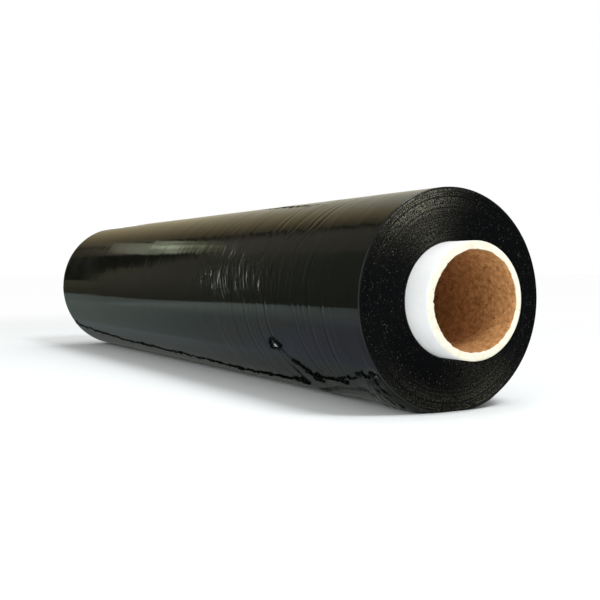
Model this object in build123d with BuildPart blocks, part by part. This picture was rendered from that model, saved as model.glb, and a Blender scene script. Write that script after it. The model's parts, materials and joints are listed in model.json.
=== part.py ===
"""Hand roll of black stretch film on a paper core, lying on its side.

The roll's axis runs along X, at the height where the wound film rests on a small flat spot at Z = 0.
The torn tail of the last turn comes round from underneath and ends on the front, which is the -Y side.
Angles round the roll are in degrees below the front, so 90 is straight down.
"""
import math
import os

from build123d import *

# Paper core, a straight tube that stands out of the film at both ends
CORE_BORE = 50.0
CORE_WALL = 3.6
CORE_OVERHANG = 17.0
CORE_EDGE_BREAK = 0.5

# Wound film
FILM_WIDTH = 500.0
FILM_DIAMETER = 111.0
FILM_FIT = 0.0
RIM_BREAK = 0.6
FLAT_SPOT_WIDTH = 18.0

# Groups of turns, which stand back unevenly on both ends of the winding
TURN_GROUP_WIDTH = 3.8
TURN_GROUP_SETBACK = 0.6
TURN_GROUP_SLOPE = 0.25
TURN_GROUP_SWAY = 2.4

# Creases pressed round the winding, as shares of the film width from the far end
CREASE_PLACES = (0.20, 0.45, 0.64, 0.765, 0.82, 0.91)
CREASE_WIDTH = 2.4
CREASE_DEPTH = 0.3

# Loose tail of the last turn: thickest near its torn edge, thinning to nothing behind the roll
TAIL_THICKNESS = 0.7
TAIL_THICKEST_ANGLE = 62.0
TAIL_MERGE_ANGLE = 150.0
TAIL_SIDE_INSET = 0.8
TAIL_ROOT_DEPTH = 1.2
TAIL_TOOTH = 1.8
TAIL_TOOTH_PITCH = 9.0

# Torn edge, as shares of the film width from the far end and angles below the front
TORN_EDGE = (
    (0.00, 37.0),
    (0.05, 43.0),
    (0.12, 46.0),
    (0.21, 50.0),
    (0.34, 53.0),
    (0.46, 55.0),
    (0.58, 58.5),
    (0.66, 60.5),
    (0.76, 59.5),
    (0.805, 58.5),
    (0.813, 28.5),
    (0.828, 33.5),
    (0.833, 42.0),
    (0.860, 51.0),
    (0.91, 49.5),
    (0.95, 43.5),
    (1.00, 38.0),
)

# Folds that gather the tail under the near end
GATHER_COUNT = 5
GATHER_PITCH = 8.4
GATHER_END_DISTANCE = 6.0
GATHER_HEIGHT = 1.2
GATHER_ROUND = 2.6
GATHER_ANGLE = 64.0
GATHER_SHIFT = 8.0
GATHER_ARC = 120.0

# Sizes that follow from the ones above
core_radius = CORE_BORE / 2 + CORE_WALL
core_length = FILM_WIDTH + 2 * CORE_OVERHANG
film_radius = FILM_DIAMETER / 2
film_bore_radius = core_radius + FILM_FIT
half_width = FILM_WIDTH / 2
axis_height = math.sqrt(film_radius**2 - (FLAT_SPOT_WIDTH / 2) ** 2)
roll_centre = (0, 0, axis_height)
roll_axis = Axis(roll_centre, (1, 0, 0))
lengthwise_plane = Plane(origin=roll_centre, x_dir=(1, 0, 0), z_dir=(0, -1, 0))


def along(share):
    """Place along X at a share of the film width from the far end."""
    return (share - 0.5) * FILM_WIDTH


def outward(angle, distance):
    """Y and Z, from the roll's axis, of a point at an angle below the front."""
    turn = math.radians(angle)
    return -distance * math.cos(turn), -distance * math.sin(turn)


def end_profile(side):
    """Points of one end of the winding, from the core out to the rim, on the +X side or the -X side."""
    groups = max(2, round((film_radius - film_bore_radius) / TURN_GROUP_WIDTH))
    group_width = (film_radius - film_bore_radius) / groups
    slope = min(TURN_GROUP_SLOPE, group_width / 4)
    points = []
    for group in range(groups):
        inner = film_bore_radius + group * group_width
        sway = math.sin(TURN_GROUP_SWAY * group + side)
        setback = TURN_GROUP_SETBACK * (0.5 + 0.5 * sway) if group < groups - 1 else 0.0
        inner_edge = inner if group == 0 else inner + slope
        outer_edge = inner + group_width - (RIM_BREAK if group == groups - 1 else slope)
        points.append((side * (half_width - setback), inner_edge))
        points.append((side * (half_width - setback), outer_edge))
    points.append((side * (half_width - RIM_BREAK), film_radius))
    return points


def crease_profile():
    """Points of the creased outside of the winding, from the far end to the near end."""
    points = []
    for share in CREASE_PLACES:
        points.append((along(share) - CREASE_WIDTH / 2, film_radius))
        points.append((along(share), film_radius - CREASE_DEPTH))
        points.append((along(share) + CREASE_WIDTH / 2, film_radius))
    return points


def torn_outline():
    """Points of the torn edge seen from above, each long stretch broken up by small teeth."""
    points = []
    for (start, start_angle), (end, end_angle) in zip(TORN_EDGE, TORN_EDGE[1:]):
        teeth = max(1, round((end - start) * FILM_WIDTH / TAIL_TOOTH_PITCH))
        for tooth in range(teeth):
            share = start + (end - start) * tooth / teeth
            angle = start_angle + (end_angle - start_angle) * tooth / teeth
            notch = TAIL_TOOTH if tooth % 2 else 0.0
            points.append((along(share), outward(angle, film_radius)[0] + notch))
    last_share, last_angle = TORN_EDGE[-1]
    points.append((along(last_share), outward(last_angle, film_radius)[0]))
    return points


# Core: white-faced paper tube with slightly broken edges
with BuildPart() as core:
    with BuildSketch(lengthwise_plane):
        with Locations((0, core_radius - CORE_WALL / 2)):
            Rectangle(core_length, CORE_WALL)
    revolve(axis=roll_axis)
    end_edges = core.edges().filter_by(GeomType.CIRCLE)
    chamfer(end_edges, length=min(CORE_EDGE_BREAK, CORE_WALL / 4))

# Tail: a ring set off centre, so that it thins out behind the roll, trimmed to the torn edge
merge_turn = math.cos(math.radians(TAIL_MERGE_ANGLE - TAIL_THICKEST_ANGLE))
tail_shift = TAIL_THICKNESS / (1 - merge_turn)
tail_radius = film_radius + TAIL_THICKNESS - tail_shift
tail_back = film_radius + TAIL_THICKNESS
with BuildPart() as tail:
    with BuildSketch(Plane.YZ.offset(TAIL_SIDE_INSET - half_width)):
        shift_y, shift_z = outward(TAIL_THICKEST_ANGLE, tail_shift)
        with Locations((shift_y, axis_height + shift_z)):
            Circle(tail_radius)
        with Locations((0, axis_height)):
            Circle(film_radius - TAIL_ROOT_DEPTH, mode=Mode.SUBTRACT)
    extrude(amount=FILM_WIDTH - 2 * TAIL_SIDE_INSET)
    with BuildSketch(Plane.XY.offset(-TAIL_THICKNESS)):
        with BuildLine():
            torn = torn_outline()
            Polyline(*torn, (half_width, tail_back), (-half_width, tail_back), close=True)
        make_face()
    extrude(amount=axis_height + TAIL_THICKNESS, mode=Mode.INTERSECT)

# Film: the whole winding in one piece, with its tail and the flat spot that it lies on
with BuildPart() as film_roll:
    with BuildSketch(lengthwise_plane):
        with BuildLine():
            far_end = end_profile(-1)
            near_end = end_profile(1)
            Polyline(*far_end, *crease_profile(), *reversed(near_end), close=True)
        make_face()
    revolve(axis=roll_axis)
    add(tail.part)
    gather_y, gather_z = outward(GATHER_ANGLE, GATHER_SHIFT)
    gather_centre = (0, gather_y, axis_height + gather_z)
    gather_start = math.radians(GATHER_ANGLE - GATHER_ARC / 2)
    gather_facing = (0, math.sin(gather_start), -math.cos(gather_start))
    gather_radius = film_radius + TAIL_THICKNESS + GATHER_HEIGHT - GATHER_ROUND - GATHER_SHIFT
    with BuildSketch(Plane(origin=gather_centre, x_dir=(1, 0, 0), z_dir=gather_facing)):
        for fold in range(GATHER_COUNT):
            with Locations((half_width - GATHER_END_DISTANCE - fold * GATHER_PITCH, gather_radius)):
                Circle(GATHER_ROUND)
    revolve(axis=Axis(gather_centre, (1, 0, 0)), revolution_arc=GATHER_ARC)
    split(bisect_by=Plane.XY, keep=Keep.TOP)

os.makedirs("parts", exist_ok=True)
core.part.label = "core"
export_step(core.part, "parts/core.step")
film_roll.part.label = "film_roll"
export_step(film_roll.part, "parts/film_roll.step")
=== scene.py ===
"""Looks of a hand roll of black stretch film on a paper core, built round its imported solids.

Lengths are in millimetres and angles in degrees below the front of the roll, as in the part's own source,
until a mesh is written in metres.  The roll's axis runs along X and its front faces -Y.
"""

import json
import logging
import math
from collections.abc import Callable
from dataclasses import dataclass
from enum import Enum
from typing import Any

import bpy
import numpy as np
from mathutils import Euler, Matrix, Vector


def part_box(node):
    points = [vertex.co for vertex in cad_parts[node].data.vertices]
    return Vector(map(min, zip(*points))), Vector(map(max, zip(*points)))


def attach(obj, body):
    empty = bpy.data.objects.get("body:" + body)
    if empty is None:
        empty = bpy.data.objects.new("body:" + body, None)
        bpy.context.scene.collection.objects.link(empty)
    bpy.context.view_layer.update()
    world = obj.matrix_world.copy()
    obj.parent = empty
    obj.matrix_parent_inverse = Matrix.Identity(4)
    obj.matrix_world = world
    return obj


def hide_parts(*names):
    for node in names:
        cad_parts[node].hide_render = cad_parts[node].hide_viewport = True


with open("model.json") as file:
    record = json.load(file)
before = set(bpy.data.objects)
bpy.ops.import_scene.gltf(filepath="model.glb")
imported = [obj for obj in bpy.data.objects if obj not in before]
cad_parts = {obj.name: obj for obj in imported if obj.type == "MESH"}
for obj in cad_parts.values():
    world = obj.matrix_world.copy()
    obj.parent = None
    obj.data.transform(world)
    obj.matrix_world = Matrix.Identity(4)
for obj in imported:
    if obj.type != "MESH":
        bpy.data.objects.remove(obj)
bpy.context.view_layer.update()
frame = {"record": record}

LOG = logging.getLogger("stretch_wrap_roll")
MM = 0.001
FULL_TURN = 360.0
Colour = tuple[float, float, float]
Place = tuple[float, float, float]
Stops = tuple[tuple[float, Colour], ...]
Table = tuple[tuple[float, float], ...]
EVEN: Table = ((0.0, 1.0),)
WHITE = (1.0, 1.0, 1.0, 1.0)


class End(Enum):
    """The two ends of the roll, by the sign of X."""

    FAR = -1.0
    NEAR = 1.0


class Unseen(Enum):
    """Kinds of ray that a reflection card is hidden from."""

    CAMERA = "visible_camera"
    DIFFUSE = "visible_diffuse"
    TRANSMISSION = "visible_transmission"
    SCATTER = "visible_volume_scatter"
    SHADOW = "visible_shadow"


# Fields worked out on whole arrays


def smooth(share: np.ndarray) -> np.ndarray:
    """Ease from 0 to 1 as 3 s squared less 2 s cubed, with s held between 0 and 1.

    Args:
        share: Values to ease.

    Returns:
        The eased values.
    """
    held = np.clip(share, 0.0, 1.0)
    return held * held * (3.0 - 2.0 * held)


def bell(distance: np.ndarray, width: float) -> np.ndarray:
    """Rounded bump, e to the power of minus half the squared ratio of distance to width.

    Args:
        distance: Distances from the bump's middle.
        width: Distance at which the bump has its steepest side.

    Returns:
        Heights from 0 to 1.
    """
    return np.exp(-0.5 * (distance / width) ** 2)


def random_field(along: np.ndarray, around: np.ndarray, cells: tuple[int, int], seed: int) -> np.ndarray:
    """Smooth random values from -1 to 1 that close on themselves round the roll.

    Random numbers stand on a lattice of cells, and each point blends the four round it with eased weights.

    Args:
        along: Place along the first direction, from 0 to 1.
        around: Place round the roll, as a share of a full turn.
        cells: Number of lattice cells along and around.
        seed: Seed of the random numbers.

    Returns:
        One value for each point.
    """
    lattice = np.random.default_rng(seed).uniform(-1.0, 1.0, (cells[0] + 2, cells[1]))
    row = np.clip(along, 0.0, 1.0) * cells[0]
    column = np.mod(around, 1.0) * cells[1]
    row_index = np.floor(row).astype(int)
    column_index = np.floor(column).astype(int)
    row_share = smooth(row - row_index)
    column_share = smooth(column - column_index)
    this_column = column_index % cells[1]
    next_column = (column_index + 1) % cells[1]
    low = lattice[row_index, this_column] * (1 - column_share)
    low = low + lattice[row_index, next_column] * column_share
    high = lattice[row_index + 1, this_column] * (1 - column_share)
    high = high + lattice[row_index + 1, next_column] * column_share
    return low * (1 - row_share) + high * row_share


def follow(place: np.ndarray, table: Table) -> np.ndarray:
    """Values at places between the rows of a table of places and values, along straight runs."""
    return np.interp(place, *np.array(table).T)


def unit(vectors: np.ndarray) -> np.ndarray:
    """Vectors scaled to a length of 1."""
    return vectors / np.linalg.norm(vectors, axis=1, keepdims=True)


# Meshes from grids of points


def grid_faces(rows: int, columns: int, wrap_rows: bool, wrap_columns: bool) -> np.ndarray:
    """Corner numbers of the quads between neighbouring points of a grid.

    Args:
        rows: Number of rows of points.
        columns: Number of points in a row.
        wrap_rows: Whether the last row joins the first.
        wrap_columns: Whether each row closes on itself.

    Returns:
        An array of four corner numbers for each quad, row by row.
    """
    row = np.arange(rows if wrap_rows else rows - 1)[:, None]
    column = np.arange(columns if wrap_columns else columns - 1)[None, :]
    next_row = (row + 1) % rows
    next_column = (column + 1) % columns
    corners = (
        row * columns + column,
        row * columns + next_column,
        next_row * columns + next_column,
        next_row * columns + column,
    )
    return np.stack(np.broadcast_arrays(*corners), axis=-1).reshape(-1, 4)


def enclosed_volume(points: np.ndarray, faces: np.ndarray) -> float:
    """Volume inside quads, as the sum of signed tetrahedra from the origin.

    Args:
        points: Places of the corners, one row each.
        faces: Corner numbers of the quads.

    Returns:
        A positive volume where the faces point outwards.
    """
    first, second, third, fourth = (points[faces[:, corner]] for corner in range(4))
    halves = np.cross(second, third) + np.cross(third, fourth)
    return float(np.einsum("ij,ij->", first, halves)) / 6.0


def add_object(name: str, data: bpy.types.ID) -> bpy.types.Object:
    """Add an object to the scene, at the origin.

    Args:
        name: Name of the object.
        data: Its mesh, light or camera.

    Returns:
        The new object.
    """
    made = bpy.data.objects.new(name, data)
    bpy.context.scene.collection.objects.link(made)
    return made


def make_piece(
    name: str, points: np.ndarray, faces: np.ndarray, finishes: list[bpy.types.Material],
    finish_of_face: np.ndarray | None = None, caps: list[np.ndarray] | None = None,
) -> bpy.types.Object:
    """Make a smooth-shaded object from points in millimetres, its faces turned outwards.

    Args:
        name: Name of the piece.
        points: Places of the corners, in any grid shape, with three numbers last.
        faces: Corner numbers of the quads.
        finishes: Materials of the piece.
        finish_of_face: Number of each face's material, or None for the first.
        caps: Corner numbers of each flat face that closes an open end, or None.

    Returns:
        The new object, at the origin.
    """
    corners = points.reshape(-1, 3) * MM
    turn = 1 if enclosed_volume(corners, faces) > 0 else -1
    polygons = faces[:, ::turn].tolist()
    if caps is not None:
        polygons += [cap[::turn].tolist() for cap in caps]
    mesh = bpy.data.meshes.new(name)
    mesh.from_pydata(corners.tolist(), [], polygons)
    for finish in finishes:
        mesh.materials.append(finish)
    if finish_of_face is not None:
        mesh.polygons.foreach_set("material_index", finish_of_face.astype(np.int32))
    mesh.polygons.foreach_set("use_smooth", np.ones(len(mesh.polygons), dtype=bool))
    mesh.update()
    return add_object(name, mesh)


def dress(piece: bpy.types.Object, node: str | None = None) -> None:
    """Fix a piece to the roll, and let it stand for a solid.

    Args:
        piece: The object to fix.
        node: Solid that the piece stands for, or None.
    """
    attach(piece, "root")
    if node is not None:
        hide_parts(node)
    LOG.info("%s: %d faces", piece.name, len(piece.data.polygons))


# Shader trees


class Term:
    """A shader socket that takes part in Python arithmetic, where each operation adds a Math node."""

    def __init__(self, sheet: "NodeSheet", socket: bpy.types.NodeSocket) -> None:
        """Keep the sheet that the socket belongs to."""
        self.sheet = sheet
        self.socket = socket

    def __add__(self, other: "Term | float") -> "Term":
        """Sum of two values."""
        return self.sheet.math("ADD", self, other)

    __radd__ = __add__

    def __sub__(self, other: "Term | float") -> "Term":
        """Difference of two values."""
        return self.sheet.math("SUBTRACT", self, other)

    def __rsub__(self, other: "Term | float") -> "Term":
        """Difference, with this value taken away."""
        return self.sheet.math("SUBTRACT", other, self)

    def __mul__(self, other: "Term | float") -> "Term":
        """Product of two values."""
        return self.sheet.math("MULTIPLY", self, other)

    __rmul__ = __mul__

    def __truediv__(self, other: "Term | float") -> "Term":
        """Quotient of two values."""
        return self.sheet.math("DIVIDE", self, other)

    def hypotenuse(self, other: "Term") -> "Term":
        """Root of the sum of the squares of two values."""
        return self.sheet.math("SQRT", self * self + other * other)

    def bell(self, middle: float, width: float) -> "Term":
        """Rounded bump of this value, as the array function of the same name."""
        away = (self - middle) / width
        return self.sheet.math("EXPONENT", away * away * -0.5)


class NodeSheet:
    """A node tree and the few ways in which nodes are added to it."""

    def __init__(self, tree: bpy.types.NodeTree) -> None:
        """Empty the tree."""
        self.tree = tree
        tree.nodes.clear()

    def node(self, kind: str, settings: dict[str, Any] | None = None,
             inputs: dict[str | int, Any] | None = None) -> bpy.types.Node:
        """Add one node.

        Args:
            kind: Blender's type name of the node.
            settings: Properties, which are set first; "stops" holds a ramp's places and colours.
            inputs: Values or links for sockets, by name or number.

        Returns:
            The new node.
        """
        made = self.tree.nodes.new(kind)
        for name, value in (settings or {}).items():
            if name == "stops":
                self.set_stops(made.color_ramp, value)
            else:
                setattr(made, name, value)
        for key, value in (inputs or {}).items():
            self.feed(made.inputs[key], value)
        return made

    def feed(self, socket: bpy.types.NodeSocket, value: Any) -> None:
        """Link a socket to a term or another socket, or set its value.

        Args:
            socket: Input to feed.
            value: Term, socket or plain value.
        """
        if isinstance(value, Term):
            self.tree.links.new(value.socket, socket)
        elif isinstance(value, bpy.types.NodeSocket):
            self.tree.links.new(value, socket)
        else:
            socket.default_value = value

    @staticmethod
    def set_stops(ramp: bpy.types.ColorRamp, stops: Stops) -> None:
        """Give a colour ramp its stops.

        Args:
            ramp: The ramp.
            stops: Places from 0 to 1, each with a colour.
        """
        while len(ramp.elements) > len(stops):
            ramp.elements.remove(ramp.elements[-1])
        while len(ramp.elements) < len(stops):
            ramp.elements.new(1.0)
        for element, (place, colour) in zip(ramp.elements, stops):
            element.position = place
            element.color = (*colour, 1.0)

    def math(self, operation: str, *values: "Term | float") -> Term:
        """Result of one Math node."""
        made = self.node("ShaderNodeMath", {"operation": operation}, dict(enumerate(values)))
        return Term(self, made.outputs[0])

    def place(self) -> tuple[bpy.types.NodeSocket, Term, Term, Term]:
        """Object coordinates in metres.

        Returns:
            The vector, and its X, Y and Z.
        """
        vector = self.node("ShaderNodeTexCoord").outputs["Object"]
        parts = self.node("ShaderNodeSeparateXYZ", None, {0: vector})
        return vector, *(Term(self, parts.outputs[axis]) for axis in "XYZ")

    def noise(self, vector: bpy.types.NodeSocket, scale: tuple[float, float, float], detail: float = 2.0,
              shift: float = 0.0) -> Term:
        """Noise from 0 to 1 on stretched object coordinates.

        Args:
            vector: Coordinates to stretch.
            scale: Cells for each metre along X, Y and Z.
            detail: Number of finer layers.
            shift: Offset that picks another part of the noise.

        Returns:
            The noise's value.
        """
        stretched = self.node("ShaderNodeMapping", None,
                              {"Vector": vector, "Location": (shift, shift, shift), "Scale": scale})
        made = self.node("ShaderNodeTexNoise", {"noise_dimensions": "3D"},
                         {"Vector": stretched.outputs[0], "Scale": 1.0, "Detail": detail})
        return Term(self, made.outputs[0])

    def line_noise(self, value: Term, detail: float = 2.0) -> Term:
        """Noise from 0 to 1 along one value."""
        made = self.node("ShaderNodeTexNoise", {"noise_dimensions": "1D"},
                         {"W": value, "Scale": 1.0, "Detail": detail})
        return Term(self, made.outputs[0])

    def step(self, value: Term, start: float, end: float, low: float = 0.0, high: float = 1.0) -> Term:
        """Eased step from low to high while a value goes from start to end."""
        made = self.node("ShaderNodeMapRange", {"interpolation_type": "SMOOTHSTEP"},
                         {"Value": value, "From Min": start, "From Max": end, "To Min": low, "To Max": high})
        return Term(self, made.outputs[0])

    def ramp(self, value: Term, stops: Stops) -> bpy.types.NodeSocket:
        """Colour of a ramp at a value."""
        return self.node("ShaderNodeValToRGB", {"stops": stops}, {0: value}).outputs["Color"]

    def product(self, first: bpy.types.NodeSocket, second: bpy.types.NodeSocket) -> bpy.types.NodeSocket:
        """Product of two colours."""
        made = self.node("ShaderNodeMix", {"data_type": "RGBA", "blend_type": "MULTIPLY"},
                         {0: 1.0, 6: first, 7: second})
        return made.outputs[2]

    def blend(self, share: Term, first: Any, second: Any) -> bpy.types.NodeSocket:
        """Mix of two colours, by the share of the second."""
        made = self.node("ShaderNodeMix", {"data_type": "RGBA"},
                         {0: share, 6: self.colour(first), 7: self.colour(second)})
        return made.outputs[2]

    @staticmethod
    def colour(value: Any) -> Any:
        """A colour as a socket takes it, with its alpha."""
        return (*value, 1.0) if isinstance(value, tuple) else value

    def bump(self, height: Term, depth_mm: float,
             below: bpy.types.NodeSocket | None = None) -> bpy.types.NodeSocket:
        """Normal of a relief.

        Args:
            height: Relief from 0 to 1.
            depth_mm: Depth in millimetres of a full unit of relief.
            below: Normal of a coarser relief underneath, or None.

        Returns:
            The normal socket.
        """
        inputs: dict[str | int, Any] = {"Height": height, "Strength": 1.0, "Distance": depth_mm * MM}
        if below is not None:
            inputs["Normal"] = below
        return self.node("ShaderNodeBump", None, inputs).outputs["Normal"]


def surface(name: str) -> tuple[bpy.types.Material, NodeSheet]:
    """Add a material with an empty tree.

    Args:
        name: Name of the material.

    Returns:
        The material and its node sheet.
    """
    material = bpy.data.materials.new(name)
    material.use_nodes = True
    return material, NodeSheet(material.node_tree)


def shaded(sheet: NodeSheet, inputs: dict[str | int, Any]) -> None:
    """End a material's tree in one Principled shader with these inputs."""
    shader = sheet.node("ShaderNodeBsdfPrincipled", None, inputs)
    sheet.node("ShaderNodeOutputMaterial", None, {"Surface": shader.outputs[0]})


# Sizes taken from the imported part


@dataclass(frozen=True)
class RollSizes:
    """Main sizes of the roll in millimetres.

    Attributes:
        film_width: Width of the film, along X.
        film_radius: Outer radius of the winding.
        core_radius: Outer radius of the core.
        bore_radius: Inner radius of the core.
        core_length: Length of the core.
        axis_height: Height of the axis above the surface that the roll lies on.
    """

    film_width: float
    film_radius: float
    core_radius: float
    bore_radius: float
    core_length: float
    axis_height: float

    @classmethod
    def from_frame(cls) -> "RollSizes":
        """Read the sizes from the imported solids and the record's bore.

        Returns:
            The sizes.
        """
        film_low, film_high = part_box("film_roll")
        core_low, core_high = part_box("core")
        bore = next(mount for mount in frame["record"]["mounts"] if mount["name"] == "core_bore")
        return cls(
            film_width=(film_high.x - film_low.x) / MM,
            film_radius=(film_high.y - film_low.y) / 2 / MM,
            core_radius=(core_high.y - core_low.y) / 2 / MM,
            bore_radius=bore["dims"]["r_mm"],
            core_length=(core_high.x - core_low.x) / MM,
            axis_height=bore["pos_m"][2] / MM,
        )

    def share(self, x: np.ndarray) -> np.ndarray:
        """Share of the film's width from its far end."""
        return x / self.film_width + 0.5

    def points(self, along: np.ndarray, angle: np.ndarray, radius: np.ndarray) -> np.ndarray:
        """Places at an angle below the front and a distance from the axis.

        Y is minus the radius times the cosine of the angle, and Z is the axis height less the radius times
        its sine.

        Args:
            along: X of each point.
            angle: Angle below the front, in degrees.
            radius: Distance from the axis.

        Returns:
            The points, with three numbers last.
        """
        turn = np.radians(angle)
        parts = (along, -radius * np.cos(turn), self.axis_height - radius * np.sin(turn))
        return np.stack(np.broadcast_arrays(*parts), axis=-1)


def rest_on_floor(points: np.ndarray, floor: float, ease: float = 0.5) -> np.ndarray:
    """Press the underside flat: heights below the floor are lifted to it, easing in over a short height.

    The height above the floor, h, becomes half of h plus the root of h squared plus the ease squared, less
    half the ease, and is never below 0.

    Args:
        points: Places of a surface.
        floor: Height of the floor.
        ease: Height over which the surface turns into the flat.

    Returns:
        The pressed points.
    """
    pressed = points.copy()
    height = points[..., 2] - floor
    eased = 0.5 * (height + np.sqrt(height * height + ease * ease)) - 0.5 * ease
    pressed[..., 2] = floor + np.maximum(eased, 0.0)
    return pressed


# Finishes


@dataclass(frozen=True)
class FilmSkin:
    """Glossy black film, finely creased round the roll.

    Attributes:
        name: Name of the material.
        axis_z: Height of the roll's axis in metres.
        base: Colour of the film.
        gloss: Roughness where the film is tight.
        haze: Roughness where it is rubbed.
        mirror: Strength of the reflection, as the shader's specular level.
        crumple_mm: Depth of small crumples that run every way.
        broad_mm: Depth of the broad streaks.
        fine_mm: Depth of the fine streaks.
        hair_mm: Depth of the hairlines.
        tick_mm: Depth of the short ticks in the most creased stretch.
        streak_x: X in metres of the most streaked stretch.
        streak_reach: Half its length in metres.
        glint_x: X in metres of the most creased stretch.
        glint_reach: Half its length in metres.
        glint_rise: Height in metres of its middle above the axis.
        glint_height: Half its height in metres.
        glint_foot: Height in metres over which it ends at the level of the axis.
        glint_lean: How far the ticks there lean along the roll for each unit of height.
        glint_haze: Roughness that is added there.
        calm_rise: Height in metres above the axis of a smooth band along the roll.
        calm_height: Half its height in metres.
        calmness: Share of the streaks that is missing in its middle.
        dust: How many times brighter dusty film is.
    """

    name: str
    axis_z: float
    base: Colour = (0.0056, 0.0061, 0.0043)
    gloss: float = 0.07
    haze: float = 0.14
    mirror: float = 0.25
    crumple_mm: float = 0.0
    broad_mm: float = 0.10
    fine_mm: float = 0.10
    hair_mm: float = 0.022
    tick_mm: float = 1.40
    streak_x: float = 0.145
    streak_reach: float = 0.09
    glint_x: float = 0.116
    glint_reach: float = 0.032
    glint_rise: float = 0.0095
    glint_height: float = 0.0085
    glint_foot: float = 0.004
    glint_lean: float = 0.5
    glint_haze: float = 0.30
    calm_rise: float = -0.006
    calm_height: float = 0.006
    calmness: float = 0.80
    dust: float = 3.0

    def build(self) -> bpy.types.Material:
        """Make the material.

        Streaks are noise drawn out round the roll and fine along it.  They deepen in the streaked stretch
        and fade in the smooth band.  Ticks are noise on coordinates that lean, in clumps within the creased
        stretch.

        Returns:
            The material.
        """
        material, sheet = surface(self.name)
        vector, x, y, z = sheet.place()
        rise = z - self.axis_z
        leaned = {0: x + rise * self.glint_lean, 1: y, 2: z}
        leaning = sheet.node("ShaderNodeCombineXYZ", None, leaned).outputs[0]
        broad = sheet.noise(vector, (160.0, 9.0, 9.0), 2.0, 3.7)
        fine = sheet.noise(vector, (430.0, 15.0, 15.0), 2.0)
        hair = sheet.noise(vector, (1500.0, 34.0, 34.0), 1.0, 6.2)
        ticks = sheet.noise(leaning, (300.0, 80.0, 80.0), 1.0, 8.1)
        creased = x.bell(self.glint_x, self.glint_reach) * rise.bell(self.glint_rise, self.glint_height)
        creased = creased * sheet.step(rise, -self.glint_foot, self.glint_foot)
        clumps = sheet.step(sheet.noise(vector, (120.0, 75.0, 75.0), 2.0, 4.9), 0.40, 0.64)
        patches = sheet.step(sheet.noise(vector, (70.0, 40.0, 40.0), 2.0, 9.4), 0.40, 0.66)
        calm = 1.0 - self.calmness * rise.bell(self.calm_rise, self.calm_height)
        strength = (0.38 + 0.62 * x.bell(self.streak_x, self.streak_reach)) * (0.25 + 0.75 * patches) * calm
        normal = sheet.bump(broad * calm * (0.4 + 0.6 * strength), self.broad_mm)
        normal = sheet.bump(fine * strength, self.fine_mm, normal)
        normal = sheet.bump(hair * strength, self.hair_mm, normal)
        normal = sheet.bump(ticks * creased * (0.40 + 0.60 * clumps), self.tick_mm, normal)
        if self.crumple_mm > 0:
            crumple = sheet.noise(vector, (170.0, 120.0, 120.0), 3.0, 1.9)
            normal = sheet.bump(crumple, self.crumple_mm, normal)
        rubbed = sheet.noise(vector, (26.0, 14.0, 14.0), 3.0, 5.3)
        roughness = sheet.step(rubbed, 0.42, 0.78, self.gloss, self.haze) + creased * self.glint_haze
        dusty = sheet.step(fine * rubbed, 0.30, 0.52)
        tint = sheet.blend(dusty, self.base, tuple(self.dust * part for part in self.base))
        shaded(sheet, {
            "Base Color": tint,
            "Roughness": roughness,
            "Specular IOR Level": self.mirror,
            "Normal": normal,
        })
        return material


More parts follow.
